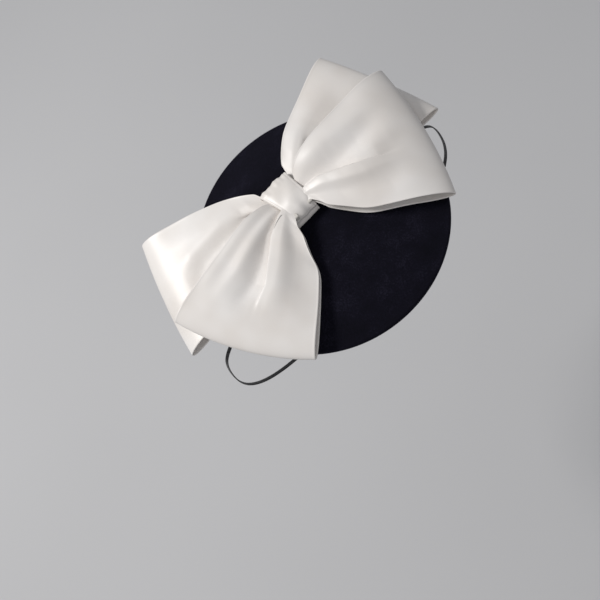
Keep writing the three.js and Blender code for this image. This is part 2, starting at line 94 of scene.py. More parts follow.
def smooth(x, low=0.0, high=1.0):
    """0 below low, 1 above high and an S between them."""
    t = np.clip((x - low) / (high - low), 0, 1)
    return t * t * (3 - 2 * t)


def bump(x, middle, width):
    """A smooth hump of height 1."""
    return np.exp(-(((x - middle) / width) ** 2))


def direction(degrees):
    a = math.radians(degrees)
    return np.array([math.cos(a), math.sin(a)])


def spline(points, count):
    """count points spaced evenly by chord along a smooth curve through the given points."""
    p = np.array(points, float)
    ends = np.vstack([2 * p[0] - p[1], p, 2 * p[-1] - p[-2]])
    steps = 24  # between two neighbouring points
    fine = []
    for i in range(len(p) - 1):
        a, b, c, d = ends[i:i + 4]
        for t in np.linspace(0, 1, steps, endpoint=False):
            fine.append(0.5 * (2 * b + (c - a) * t + (2 * a - 5 * b + 4 * c - d) * t * t
                               + (3 * b - a - 3 * c + d) * t ** 3))
    fine = np.vstack([fine, p[-1]])
    along = np.concatenate([[0], np.cumsum(np.linalg.norm(np.diff(fine, axis=0), axis=1))])
    wanted = np.linspace(0, along[-1], count)
    return np.stack([np.interp(wanted, along, fine[:, k]) for k in range(p.shape[1])], 1)


def new_object(name, vertices, faces, uv=None):
    """A smooth-shaded mesh object from arrays of vertices and faces; uv holds one pair a vertex."""
    mesh = bpy.data.meshes.new(name)
    mesh.from_pydata([tuple(v) for v in vertices], [], [tuple(int(i) for i in f) for f in faces])
    if uv is not None:
        layer = mesh.uv_layers.new(name="cloth")
        corners = np.zeros(len(mesh.loops), np.int32)
        mesh.loops.foreach_get("vertex_index", corners)
        layer.data.foreach_set("uv", np.asarray(uv, np.float32)[corners].ravel())
    mesh.polygons.foreach_set("use_smooth", [True] * len(mesh.polygons))
    mesh.validate()
    mesh.update()
    made = bpy.data.objects.new(name, mesh)
    bpy.context.scene.collection.objects.link(made)
    return made


def grid_faces(rows, columns, start=0, close_rows=False, close_columns=False, flip=False):
    faces = []
    for i in range(rows if close_rows else rows - 1):
        for j in range(columns if close_columns else columns - 1):
            a = start + i * columns + j
            b = start + i * columns + (j + 1) % columns
            c = start + ((i + 1) % rows) * columns + (j + 1) % columns
            d = start + ((i + 1) % rows) * columns + j
            faces.append((a, d, c, b) if flip else (a, b, c, d))
    return faces


def grid_normals(p):
    du = np.gradient(p, axis=0)
    dv = np.gradient(p, axis=1)
    n = np.cross(du, dv)
    return n / np.maximum(np.linalg.norm(n, axis=2, keepdims=True), 1e-12)


def shell(name, middle, half, uv):
    """A closed cloth body: both faces lie half a thickness off the middle surface and meet on
    its border, where half is 0."""
    rows, columns, _ = middle.shape
    n = grid_normals(middle)
    top = (middle + n * half[..., None]).reshape(-1, 3)
    under = (middle - n * half[..., None]).reshape(-1, 3)
    index = np.arange(rows * columns).reshape(rows, columns)
    other = index + rows * columns
    other[0, :], other[-1, :] = index[0, :], index[-1, :]
    other[:, 0], other[:, -1] = index[:, 0], index[:, -1]
    used = np.unique(np.concatenate([index.ravel(), other.ravel()]))
    remap = np.full(2 * rows * columns, -1)
    remap[used] = np.arange(len(used))
    faces = []
    for i in range(rows - 1):
        for j in range(columns - 1):
            k, m = i + 1, j + 1
            faces.append(remap[[index[i, j], index[k, j], index[k, m], index[i, m]]])
            faces.append(remap[[other[i, j], other[i, m], other[k, m], other[k, j]]])
    both = np.vstack([top, under])[used]
    pairs = np.vstack([uv.reshape(-1, 2)] * 2)[used]
    return new_object(name, both, faces, pairs)


def turned(name, section, segments, wobble=None):
    """A closed section of (radius, height) turned round +Z. wobble(r, z, angle) gives a rise."""
    section = np.array(section, float)
    angles = np.linspace(0, 2 * math.pi, segments, endpoint=False)
    r = section[:, 0][:, None] * np.ones(segments)
    z = section[:, 1][:, None] * np.ones(segments)
    if wobble is not None:
        z = z + wobble(r, z, angles[None, :])
    points = np.stack([r * np.cos(angles), r * np.sin(angles), z], 2).reshape(-1, 3)
    on_axis = section[0, 0] == 0
    faces = grid_faces(len(section), segments, close_rows=not on_axis, close_columns=True)
    made = new_object(name, points * MM, faces)
    if on_axis:
        merge(made)
    return made


def merge(made, distance=1e-7):
    """Joins vertices that lie on each other, and drops the faces that collapse."""
    b = bmesh.new()
    b.from_mesh(made.data)
    bmesh.ops.remove_doubles(b, verts=b.verts, dist=distance)
    bmesh.ops.dissolve_degenerate(b, dist=distance, edges=b.edges)
    bmesh.ops.recalc_face_normals(b, faces=b.faces)
    b.to_mesh(made.data)
    b.free()


def swept(name, path, section, closed=False):
    """A section of (across, up) pairs carried along a path of points, with flat ends."""
    path = np.array(path, float)
    section = np.array(section, float)
    if closed:
        tangent = np.roll(path, -1, 0) - np.roll(path, 1, 0)
    else:
        tangent = np.gradient(path, axis=0)
    tangent /= np.linalg.norm(tangent, axis=1, keepdims=True)
    side = np.zeros_like(path)
    first = np.cross(tangent[0], np.array([0, 0, 1.0]))
    side[0] = first / np.linalg.norm(first)
    for i in range(1, len(path)):
        carried = side[i - 1] - tangent[i] * (side[i - 1] @ tangent[i])
        side[i] = carried / np.linalg.norm(carried)
    lift = np.cross(side, tangent)
    rings = (path[:, None, :] + side[:, None, :] * section[None, :, 0, None]
             + lift[:, None, :] * section[None, :, 1, None])
    rows, columns = len(path), len(section)
    faces = grid_faces(rows, columns, close_rows=closed, close_columns=True)
    if not closed:
        faces.append(tuple(range(columns))[::-1])
        faces.append(tuple(range((rows - 1) * columns, rows * columns)))
    made = new_object(name, rings.reshape(-1, 3), faces)
    merge(made)
    return made


def circle_section(radius, sides=12):
    a = np.linspace(0, 2 * math.pi, sides, endpoint=False)
    return np.stack([np.cos(a), np.sin(a)], 1) * radius


# ---- materials ------------------------------------------------------------------------------


class Paint:
    """A material's node tree, with short ways to add and join nodes."""

    def __init__(self, name):
        self.material = bpy.data.materials.new(name)
        self.material.use_nodes = True
        self.tree = self.material.node_tree
        self.shader = self.tree.nodes["Principled BSDF"]

    def node(self, kind, **settings):
        made = self.tree.nodes.new(kind)
        for key, value in settings.items():
            if key in made.inputs:
                made.inputs[key].default_value = value
            else:
                setattr(made, key, value)
        return made

    def join(self, a, out, b, into):
        self.tree.links.new(a.outputs[out], b.inputs[into])

    def place(self, scale=(1, 1, 1), uv=False, rotation=(0, 0, 0)):
        """Coordinates in metres, by the cloth's own map or the object's axes, scaled."""
        source = self.node("ShaderNodeTexCoord")
        mapping = self.node("ShaderNodeMapping")
        mapping.inputs["Scale"].default_value = scale
        mapping.inputs["Rotation"].default_value = rotation
        self.join(source, "UV" if uv else "Object", mapping, "Vector")
        return mapping

    def noise(self, where, scale, detail=2.0, roughness=0.5):
        made = self.node("ShaderNodeTexNoise")
        made.inputs["Scale"].default_value = scale
        made.inputs["Detail"].default_value = detail
        made.inputs["Roughness"].default_value = roughness
        self.join(where, "Vector", made, "Vector")
        return made

    def ramp(self, source, out, stops):
        made = self.node("ShaderNodeValToRGB")
        bar = made.color_ramp
        bar.elements[0].position, bar.elements[0].color = stops[0][0], (*stops[0][1], 1)
        bar.elements[1].position, bar.elements[1].color = stops[-1][0], (*stops[-1][1], 1)
        for place, color in stops[1:-1]:
            bar.elements.new(place).color = (*color, 1)
        self.join(source, out, made, "Fac")
        return made

    def span(self, source, out, low, high, from_low=0.0, from_high=1.0):
        made = self.node("ShaderNodeMapRange")
        made.inputs["From Min"].default_value = from_low
        made.inputs["From Max"].default_value = from_high
        made.inputs["To Min"].default_value = low
        made.inputs["To Max"].default_value = high
        self.join(source, out, made, "Value")
        return made

    def rise(self, height, out, strength, distance, under=None):
        made = self.node("ShaderNodeBump")
        made.inputs["Strength"].default_value = strength
        made.inputs["Distance"].default_value = distance
        self.join(height, out, made, "Height")
        if under is not None:
            self.join(under, "Normal", made, "Normal")
        return made

    def set(self, **values):
        for key, value in values.items():
            self.shader.inputs[key.replace("_", " ")].default_value = value


def satin():
    """Heavy ivory satin: long floats along the ribbon, a soft broad gloss and faint slubs."""
    p = Paint("satin")
    broad = p.noise(p.place((1, 1, 1)), 28, 2)
    color = p.ramp(broad, "Fac", [(0.3, (0.79, 0.745, 0.705)), (0.7, (0.87, 0.840, 0.815))])
    p.join(color, "Color", p.shader, "Base Color")
    floats = p.noise(p.place((700, 9000, 1), uv=True), 1, 2)
    slub = p.noise(p.place((90, 900, 1), uv=True), 1, 3)
    gloss = p.span(slub, "Fac", 0.31, 0.41)
    p.join(gloss, "Result", p.shader, "Roughness")
    fine = p.rise(floats, "Fac", 0.10, 0.00005)
    coarse = p.rise(slub, "Fac", 0.10, 0.00008, fine)
    p.join(coarse, "Normal", p.shader, "Normal")
    p.set(IOR=1.5, Sheen_Weight=0.15, Sheen_Roughness=0.4)
    return p.material


def velvet():
    """Short-pile velvet: nearly black, with a blue-violet sheen and a brushed, specked nap."""
    p = Paint("velvet")
    place = p.place()
    patches = p.noise(place, 45, 3, 0.6)
    specks = p.noise(place, 900, 3, 0.7)
    mixed = p.node("ShaderNodeMath", operation="MULTIPLY")
    p.join(patches, "Fac", mixed, 0)
    p.join(specks, "Fac", mixed, 1)
    color = p.ramp(mixed, "Value", [(0.12, (0.0015, 0.0014, 0.0040)),
                                    (0.30, (0.0040, 0.0036, 0.0090)),
                                    (0.45, (0.014, 0.013, 0.024))])
    p.join(color, "Color", p.shader, "Base Color")
    pile = p.noise(place, 2600, 2, 0.6)
    low = p.rise(pile, "Fac", 0.5, 0.0004)
    nap = p.rise(specks, "Fac", 0.5, 0.0007, low)
    p.join(nap, "Normal", p.shader, "Normal")
    p.set(Roughness=0.9, Specular_IOR_Level=0.12, Sheen_Weight=0.42, Sheen_Roughness=0.35,
          Sheen_Tint=(0.42, 0.40, 0.62, 1))
    return p.material


def woven(name, color, dark, threads, roughness, sheen=0.1):
    """Plain cloth: a fine weave of crossing threads with slight changes of colour."""
    p = Paint(name)
    place = p.place()
    blotch = p.noise(place, 120, 3)
    tone = p.ramp(blotch, "Fac", [(0.3, dark), (0.7, color)])
    p.join(tone, "Color", p.shader, "Base Color")
    waves = []
    for axis in ("X", "Y"):
        wave = p.node("ShaderNodeTexWave", wave_type="BANDS", bands_direction=axis)
        wave.inputs["Scale"].default_value = threads
        wave.inputs["Distortion"].default_value = 0.6
        p.join(place, "Vector", wave, "Vector")
        waves.append(wave)
    both = p.node("ShaderNodeMath", operation="MULTIPLY")
    p.join(waves[0], "Fac", both, 0)
    p.join(waves[1], "Fac", both, 1)
    weave = p.rise(both, "Value", 0.6, 0.0002)
    p.join(weave, "Normal", p.shader, "Normal")
    p.set(Roughness=roughness, Sheen_Weight=sheen, Sheen_Roughness=0.5, Specular_IOR_Level=0.3)
    return p.material


def ribbed(name, light, dark, count):
    """Petersham: cross ribs that fan out round the disc, with painted shade darkening the grooves
    between them.
    """
    p = Paint(name)
    place = p.place()
    parts = p.node("ShaderNodeSeparateXYZ")
    p.join(place, "Vector", parts, "Vector")
    angle = p.node("ShaderNodeMath", operation="ARCTAN2")
    p.join(parts, "Y", angle, 0)
    p.join(parts, "X", angle, 1)
    turns = p.node("ShaderNodeMath", operation="MULTIPLY")
    turns.inputs[1].default_value = count
    p.join(angle, "Value", turns, 0)
    rib = p.node("ShaderNodeMath", operation="SINE")
    p.join(turns, "Value", rib, 0)
    tone = p.span(rib, "Value", 0, 1, -1, 1)
    # painted shade: the colour goes dark in the grooves and light on the crests, following the
    # rib's height
    color = p.ramp(tone, "Result", [(0.0, dark), (1.0, light)])
    p.join(color, "Color", p.shader, "Base Color")
    raised = p.rise(tone, "Result", 0.7, 0.0003)
    p.join(raised, "Normal", p.shader, "Normal")
    p.set(Roughness=0.75, Sheen_Weight=0.3, Sheen_Roughness=0.5, Specular_IOR_Level=0.25)
    return p.material


def braided(name):
    """Black braided elastic: crossing strands, with a painted highlight on their crowns and painted
    shade between them.
    """
    p = Paint(name)
    waves = []
    for turn in (0.75, -0.75):
        place = p.place((1, 1, 1), rotation=(turn, turn, 0))
        wave = p.node("ShaderNodeTexWave", wave_type="BANDS", bands_direction="DIAGONAL")
        wave.inputs["Scale"].default_value = 300
        wave.inputs["Distortion"].default_value = 0.4
        p.join(place, "Vector", wave, "Vector")
        waves.append(wave)
    both = p.node("ShaderNodeMath", operation="MAXIMUM")
    p.join(waves[0], "Fac", both, 0)
    p.join(waves[1], "Fac", both, 1)
    # painted highlight and shade: the strands' crowns are painted lighter and the hollows between
    # them darker, following their height
    color = p.ramp(both, "Value", [(0.2, (0.004, 0.004, 0.005)), (1.0, (0.022, 0.022, 0.025))])
    p.join(color, "Color", p.shader, "Base Color")
    raised = p.rise(both, "Value", 0.8, 0.0003)
    p.join(raised, "Normal", p.shader, "Normal")
    p.set(Roughness=0.6, Sheen_Weight=0.2, Specular_IOR_Level=0.35)
    return p.material


def thread(name, light, dark):
    """Twisted sewing thread, with painted shade in the grooves of its twist."""
    p = Paint(name)
    wave = p.node("ShaderNodeTexWave", wave_type="BANDS", bands_direction="DIAGONAL")
    wave.inputs["Scale"].default_value = 900
    wave.inputs["Distortion"].default_value = 1.0
    p.join(p.place(), "Vector", wave, "Vector")
    # painted shade: the colour goes dark in the grooves of the twist and light on its strands, with
    # the same bands as the bump
    color = p.ramp(wave, "Fac", [(0.1, dark), (0.9, light)])
    p.join(color, "Color", p.shader, "Base Color")
    raised = p.rise(wave, "Fac", 0.7, 0.0002)
    p.join(raised, "Normal", p.shader, "Normal")
    p.set(Roughness=0.6, Sheen_Weight=0.2)
    return p.material


def steel():
    """Plain drawn wire: fine lengthwise scratches, a little dulled."""
    p = Paint("wire")
    marks = p.noise(p.place((300, 300, 4000)), 1, 3)
    color = p.ramp(marks, "Fac", [(0.3, (0.42, 0.42, 0.43)), (0.7, (0.62, 0.62, 0.63))])
    p.join(color, "Color", p.shader, "Base Color")
    gloss = p.span(marks, "Fac", 0.25, 0.45)
    p.join(gloss, "Result", p.shader, "Roughness")
    p.set(Metallic=1.0)
    return p.material


SATIN = satin()
VELVET = velvet()
BUCKRAM = woven("buckram", (0.62, 0.56, 0.44), (0.50, 0.45, 0.35), 520, 0.85)
MULLING = woven("mulling", (0.05, 0.05, 0.06), (0.03, 0.03, 0.04), 380, 0.95, 0.4)
LINING = woven("lining", (0.022, 0.020, 0.030), (0.012, 0.011, 0.018), 900, 0.5, 0.2)
# the petersham's darker colour is painted shade for its rib grooves
PETERSHAM = ribbed("petersham", (0.022, 0.021, 0.027), (0.008, 0.008, 0.011), 520)
ELASTIC = braided("elastic")
# the thread's darker colour is painted shade for the grooves of its twist
THREAD = thread("thread", (0.80, 0.77, 0.72), (0.62, 0.59, 0.54))
WIRE = steel()


def dress(made, material, body=ROOT, replaces=()):
    """Gives a piece its material, the body it rides on and the CAD solids it stands for."""
    made.data.materials.clear()
    made.data.materials.append(material)
    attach(made, body)
    if replaces:
        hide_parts(*replaces)
    return made


# CAD solids that stay in sight as they are, with a material each
for node, material in {
    "base_former": BUCKRAM, "mulling_layer": MULLING, "rim_wire": WIRE, "wire_joiner": WIRE,
    "front_binding_upper": THREAD, "front_binding_lower": THREAD, "back_binding_upper": THREAD,
    "back_binding_lower": THREAD, "bow_stitch_left": THREAD, "bow_stitch_right": THREAD,
    "elastic_tab_left": PETERSHAM, "elastic_tab_right": PETERSHAM,
}.items():
    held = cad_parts[node]
    held.data.materials.clear()
    held.data.materials.append(material)

# ---- elastic --------------------------------------------------------------------------------

TAB_ANGLE = 50
ELASTIC_WIDTH = 3.0
ELASTIC_THICKNESS = 1.0
ELASTIC_SAMPLES = 260
ELASTIC_SIDES = 20
KNOT_THREAD_RADIUS = 0.72
KNOT_SPREAD = 1.75      # half of the knot's width across the elastic
KNOT_DEPTH = 0.8        # half of its depth along the elastic
# Half of the hanging elastic, as pairs of distance from the disc's middle along the plane
# through both tabs, and height, in millimetres.
ELASTIC_HALF = [
    (84.3, -4.5), (89, -4.6), (94, -5.4), (99.5, -8.2), (106.2, -13.2), (112.3, -18.6),
    (116.8, -25.5), (119.8, -36), (121.6, -50), (121.8, -64), (119.4, -78), (113.2, -91),
    (103.2, -102), (90, -110.6), (74.5, -117), (57.5, -121.4), (39.5, -124), (21, -125.4),
    (7, -125.8),
]
ELASTIC_ROUTE = ELASTIC_HALF + [(-a, z) for a, z in reversed(ELASTIC_HALF)]


def elastic_points():
    along = direction(TAB_ANGLE)
    flat = spline(ELASTIC_ROUTE, ELASTIC_SAMPLES)
    return np.stack([flat[:, 0] * along[0], flat[:, 0] * along[1], flat[:, 1]], 1) * MM


def make_elastic():
    path = elastic_points()
    a = np.linspace(0, 2 * math.pi, ELASTIC_SIDES, endpoint=False)
    across = np.sign(np.cos(a)) * np.abs(np.cos(a)) ** 0.6 * ELASTIC_WIDTH / 2
    thick = np.sign(np.sin(a)) * np.abs(np.sin(a)) ** 0.8 * ELASTIC_THICKNESS / 2
    made = swept("hat_elastic_braid", path, np.stack([across, thick], 1) * MM)
    dress(made, ELASTIC, SWING, ["hat_elastic"])
    knots = [make_knot("left", 180), make_knot("right", 0)]


def make_knot(side, turn):
    """An overhand knot: a trefoil of the same elastic, pulled tight."""
    low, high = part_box("elastic_knot_" + side)
    centre = (np.array(low) + np.array(high)) / 2
    angle = math.radians(TAB_ANGLE + turn)
    outward = np.array([math.cos(angle), math.sin(angle), 0])
    sideways = np.array([-math.sin(angle), math.cos(angle), 0])
    upward = np.array([0, 0, 1.0])
    t = np.linspace(0, 2 * math.pi, 96, endpoint=False)
    x = (np.sin(t) + 2 * np.sin(2 * t)) / 3
    y = (np.cos(t) - 2 * np.cos(2 * t)) / 3
    z = -np.sin(3 * t)
    path = centre + (outward * (z * KNOT_DEPTH)[:, None] + sideways * (x * KNOT_SPREAD)[:, None]
                     + upward * (y * KNOT_SPREAD)[:, None]) * MM
    section = circle_section(KNOT_THREAD_RADIUS * MM)
    made = swept("elastic_overhand_" + side, path, section, closed=True)
    return dress(made, ELASTIC, SWING, ["elastic_knot_" + side])


make_elastic()

# ---- disc -----------------------------------------------------------------------------------

# Millimetres, as in the CAD model.
DOME_HEIGHT = 10.5
RIM_CENTRE = 92.9              # radius of the wire's circle
RIM_OUTER = 2.1                # of the velvet rolled round the wire
RIM_INNER = 1.2
LAND = RIM_CENTRE - 2.4        # inner edge of the flat ring under the rim
SAUCER_RADIUS = LAND + 0.5
KNEE = LAND - 2.5              # where the dome meets the rim's roll
VELVET_THICKNESS = 0.9
VELVET_TOP = 4.7               # heights over the saucer's own surface
LINING_LOW = 0.3
LINING_HIGH = 0.9
PETERSHAM_LOW = -1.0
PETERSHAM_HIGH = -0.3
TURN_EDGE = RIM_CENTRE - 12    # where the turned-under velvet ends
LINING_RADIUS = TURN_EDGE - 0.3
PETERSHAM_OUTER = KNEE - 1.5
PETERSHAM_INNER = PETERSHAM_OUTER - 14
ROUND = 288                    # segments round the disc


def saucer(r):
    """Height of the saucer's own surface."""
    return DOME_HEIGHT * (1 - (r / SAUCER_RADIUS) ** 2)


def rim_arc(radius, start, stop, count=12):
    """An arc round the rim's wire, from one angle to another in degrees."""
    a = np.radians(np.linspace(start, stop, count))
    return np.stack([RIM_CENTRE + radius * np.cos(a), RIM_OUTER + radius * np.sin(a)], 1)


def face(radii, lift):
    """Section points that follow the saucer at a height over it."""
    radii = np.asarray(radii, float)
    return np.stack([radii, saucer(radii) + lift], 1)


def make_velvet():
    """The velvet: over the dome, round the rim and turned under, with soft waves and tucks."""
    dome = np.linspace(0, KNEE, 24)
    turn = np.linspace(KNEE, TURN_EDGE, 8)
    section = np.vstack([
        face(dome, VELVET_TOP - VELVET_THICKNESS), rim_arc(RIM_INNER, 90, -90),
        [[LAND, VELVET_THICKNESS]], face(turn, VELVET_THICKNESS), face(turn[::-1], 0), [[LAND, 0]],
        rim_arc(RIM_OUTER, -90, 90, 16), face(dome[::-1], VELVET_TOP),
    ])

    def ripple(r, z, angle):
        outside = (z > saucer(np.minimum(r, SAUCER_RADIUS)) + VELVET_TOP - 0.3) & (r < KNEE + 1)
        soft = 0.10 * np.sin(3 * angle + 0.4) + 0.07 * np.sin(7 * angle + 2 + r / 21)
        tucks = 0.12 * np.sin(96 * angle + np.sin(5 * angle) * 3) * smooth(r, 84, 88)
        below = (z < 0.5) & (r < LAND - 0.2) & (r > PETERSHAM_OUTER)
        return np.where(outside, soft * smooth(r, 15, 60), 0) + np.where(below, tucks, 0)

    made = turned("velvet_disc_cover", section, ROUND, ripple)
    dress(made, VELVET, replaces=["velvet_cover"])


def make_lining():
    """The lining, puckered where it is sewn to the rim."""
    radii = np.linspace(0, LINING_RADIUS, 22)
    section = np.vstack([face(radii, LINING_LOW), face(radii[::-1], LINING_HIGH)])

    def pucker(r, z, angle):
        low = z < saucer(r) + (LINING_LOW + LINING_HIGH) / 2
        pull = 0.12 * np.sin(40 * angle + 2 * np.sin(3 * angle)) * smooth(r, 45, 72)
        return np.where(low, pull + 0.08 * np.sin(r / 9 + 2 * np.cos(angle)), 0)

    made = turned("lining_cloth", section, ROUND, pucker)
    dress(made, LINING, replaces=["lining"])


def make_petersham():
    """The ribbon that lies on the lining and grips the head."""
    radii = np.linspace(PETERSHAM_INNER, PETERSHAM_OUTER, 9)
    section = np.vstack([face(radii, PETERSHAM_LOW), face(radii[::-1], PETERSHAM_HIGH)])

    def wave(r, z, angle):
        low = z < saucer(r) + (PETERSHAM_LOW + PETERSHAM_HIGH) / 2
        return np.where(low, 0.05 * np.sin(60 * angle + r / 3), 0)

    made = turned("petersham_ribbon", section, 2 * ROUND, wave)
    dress(made, PETERSHAM, replaces=["petersham_ring"])


make_velvet()
make_lining()
make_petersham()

# ---- ribbon loops ---------------------------------------------------------------------------

# Millimetres, as in the CAD model.
GAP = 0.3
WALL = 1.6
LAYER_GAP = 0.6
THREAD_WIDTH = 0.7
WAIST_HALF_WIDTH = 9
LOOP_START = 3.5
BOW_AXIS_ANGLE = 46.5
BAND_WALL = 1.2
BAND_HALF_LENGTH = 11.25
FLOOR_CLEARANCE = GAP + WALL / 2 + 0.2
SEAT_MM = SEAT / MM
BOW_MM = BOW_CENTRE / MM
WAIST_HEIGHT = 2 * WALL + LAYER_GAP
LEVEL_HEIGHT = WAIST_HEIGHT + 2 * (THREAD_WIDTH + GAP) + GAP
WAIST_BASE = BAND_LOW / MM + BAND_WALL + 2 * GAP + THREAD_WIDTH

CLOTH_HALF = 0.42         # half of the cloth's thickness
GATHER_START = 8.6        # distance from the centre where the waist starts to open
GATHER_RUN = 0.6          # how far inside the band's edge a loop starts to rise
SPREAD_ONSET = 24         # how sharply a loop starts to widen
TURN_RUN = 40             # over which a loop turns to its own heading
SWELL = 0.3               # share of a loop's length over which it rises to its belly
SINK_START = 0.35         # share of its length where the top layer starts to fall
PUFF = 0.9                # rise of the upper loops' waists under the band's edge
PUFF_START = 5            # distance from the bow's centre where that rise begins
MIN_LAYER_SPACE = 2.3     # between the middles of the two layers
MIN_PLEAT_SPACE = 1.4     # the same once the pleats are in
UNDER_SHARE = 0.55        # of the pleats' depth, on the lower layer
WAIST_SPAN = 30.0         # half width below which pleats are drawn in
FOLD_OVER = 0.62          # sideways reach of a knife pleat, as a share of its window
KNIFE_SHARPNESS = 1.9     # how steeply the cloth steps up at a knife pleat
KNIFE_LEVEL = 0.4         # share of the step that lies below the plain cloth
KNIFE_FADE = 11           # how far beside the pleat the cloth takes to level out
CALM_RUN = 38             # the pleats fade out between these distances from the fold
CALM_END = 4
LAYER_ROWS = 92           # rows of the mesh along a layer and round the fold
FOLD_ROWS = 60
INNER_COLUMNS = 104       # columns across it, between the finer ones at its edges

# Each loop, in millimetres from the bow's centre and across the cloth:
# level          0 for the pair next to the disc, 1 for the pair on top of it
# heading        in degrees from +X
# reach          to the middle of the far fold; half_width is half of the cloth's width there
# bow, slant     how far the corners stay back, and how much further the left one reaches
# left_, right_  power is how fast a side widens, waist its half width at the band, and drop
#                how far its edge hangs
# belly, fold    heights of the top layer over the seat, and tilt is its rise to the left
# belly_gap, fold_gap   the space between the layers
# nose           the length over which the fold rounds off, with nose_power for how squarely
# knives         points of (distance, offset, amount), window, side on top, and step
# ridges         points of (distance, offset, amount), width, and height
LOOPS = {
    "front_loop_upper": dict(
        level=1, heading=29.4, reach=106, half_width=55.5, bow=5, slant=0.8,
        left_power=0.66, left_waist=12, left_drop=3.0,
        right_power=0.55, right_waist=13, right_drop=1.8,
        belly=19.5, fold=7.5, tilt=8, belly_gap=11, fold_gap=13, nose=26, nose_power=2.0,
        knives=[([(3, 1.5, 1), (14, 1.1, 1), (24, .4, 1), (40, -5, 1), (52, -8, .9),
                  (62, -9, .75), (74, -10, .4), (90, -11, 0)], 6.5, -1, 3.2)],
        ridges=[
            ([(12, 4, .7), (20, 4.5, .9), (32, 5, 1), (46, 7, 1), (60, 11, .9), (74, 16, .5),
              (90, 20, 0)], 9, -4.6),
            ([(40, -3, .0), (54, -4, .7), (68, -2, 1), (82, 2, .7), (94, 5, 0)], 8, 2.4),
            ([(12, -2.5, .8), (24, -4, 1), (40, -10, 1), (56, -14, .9), (74, -15, .4),
              (88, -16, 0)], 5, 2.0),
            ([(12, -6, .5), (30, -15, 1), (48, -22, 1), (66, -27, .9), (84, -29, .2),
              (94, -29, 0)], 7, -2.0),
        ]),
    "front_loop_lower": dict(
        level=1, heading=253.5, reach=113, half_width=53, bow=7, slant=-1.5,
        left_power=0.52, left_waist=12.5, left_drop=1.8,
        right_power=0.66, right_waist=12, right_drop=2.6,
        belly=15.2, fold=10.5, tilt=-8.5, belly_gap=8.5, fold_gap=11, nose=26, nose_power=2.8,
        knives=[([(3, -3, 1), (13, -3, 1), (32, -2.4, 1), (49, 2, .9), (66, 4.4, .6),
                  (78, 2.6, .4), (94, 2.3, 0)], 6.5, 1, 3.2)],
        ridges=[
            ([(12, -5, .6), (21, -6, 1), (47, -4, 1), (67, -5, .9), (81, -9, .3), (92, -10, 0)],
             6, -3.4),
            ([(12, -7, .6), (20, -9.5, 1), (34, -12.5, 1), (50, -16, 1), (62, -18, .8),
              (74, -22, .3), (86, -24, 0)], 4.8, 1.9),
            ([(12, -8.5, .4), (23, -15, 1), (44, -21, 1), (61, -26, .9), (76, -30, .4),
              (90, -32, 0)], 8, -1.5),
            ([(18, -17, .3), (30, -22, 1), (50, -29, 1), (70, -35, .6), (86, -38, 0)], 5, 1.3),
            ([(12, -1, .8), (20, 1.5, 1), (45, 9, 1), (63, 12, .9), (80, 13, .4), (96, 13, 0)],
             8, 1.5),
            ([(14, 5, .4), (22, 10, 1), (36, 18, 1), (60, 27, .9), (80, 31, .4), (98, 33, 0)],
             10, -1.3),
        ]),
    "back_loop_upper": dict(
        level=0, heading=60, reach=114.5, half_width=49, bow=2.5, slant=-2.5,
        left_power=0.38, left_waist=15, left_drop=3.2,
        right_power=0.46, right_waist=8, right_drop=0.6,
        belly=5.2, fold=-0.6, tilt=7, belly_gap=5, fold_gap=9.5, nose=20, nose_power=2.2,
        knives=[([(3, 5, 1), (18, 9, 1), (34, 15, .5), (50, 20, 0)], 5.5, 1, 1.2)],
        ridges=[
            ([(14, 8, .4), (30, 20, .9), (46, 27, 1), (64, 31, .8), (88, 36, 0)], 8, 1.5),
            ([(14, 3, .3), (30, 9, .8), (60, 13, 1), (84, 13, .5), (100, 14, 0)], 10, -1.5),
        ]),
    "back_loop_lower": dict(
        level=0, heading=212, reach=119.5, half_width=48, bow=2.5, slant=3.5,
        left_power=0.46, left_waist=8, left_drop=0.6,
        right_power=0.38, right_waist=15, right_drop=2.2,
        belly=3.4, fold=-4, tilt=-3.2, belly_gap=4, fold_gap=14, nose=24, nose_power=2.0,
        knives=[([(3, -5, 1), (18, -9, 1), (30, -13, .5), (44, -16, 0)], 5.5, -1, 1.8)],
        ridges=[
            ([(12, -6, .5), (26, -17, 1), (54, -19, 1), (85, -12, .7), (104, -7, 0)], 7, 1.5),
            ([(14, -5, .4), (35, -12, 1), (61, -5, 1), (79, 0, .7), (96, 7, 0)], 8, -1.9),
            ([(20, -3, .4), (40, -3, 1), (64, 6, .8), (84, 12, 0)], 6, 1.2),
        ]),
}


def disc_top(x, y):
    """Height of the disc's top, or far below where there is no disc."""
    r = np.hypot(x, y)
    top = saucer(np.minimum(r, KNEE)) + VELVET_TOP - np.maximum(0, r - KNEE) * 0.2
    return np.where(r > DISC_RADIUS / MM + 1, -1e6, np.maximum(top, 0))


def follow(points, u, column):
    """One column of a table of points, read at distance u."""
    points = np.array(points, float)
    return np.interp(u, points[:, 0], points[:, column])


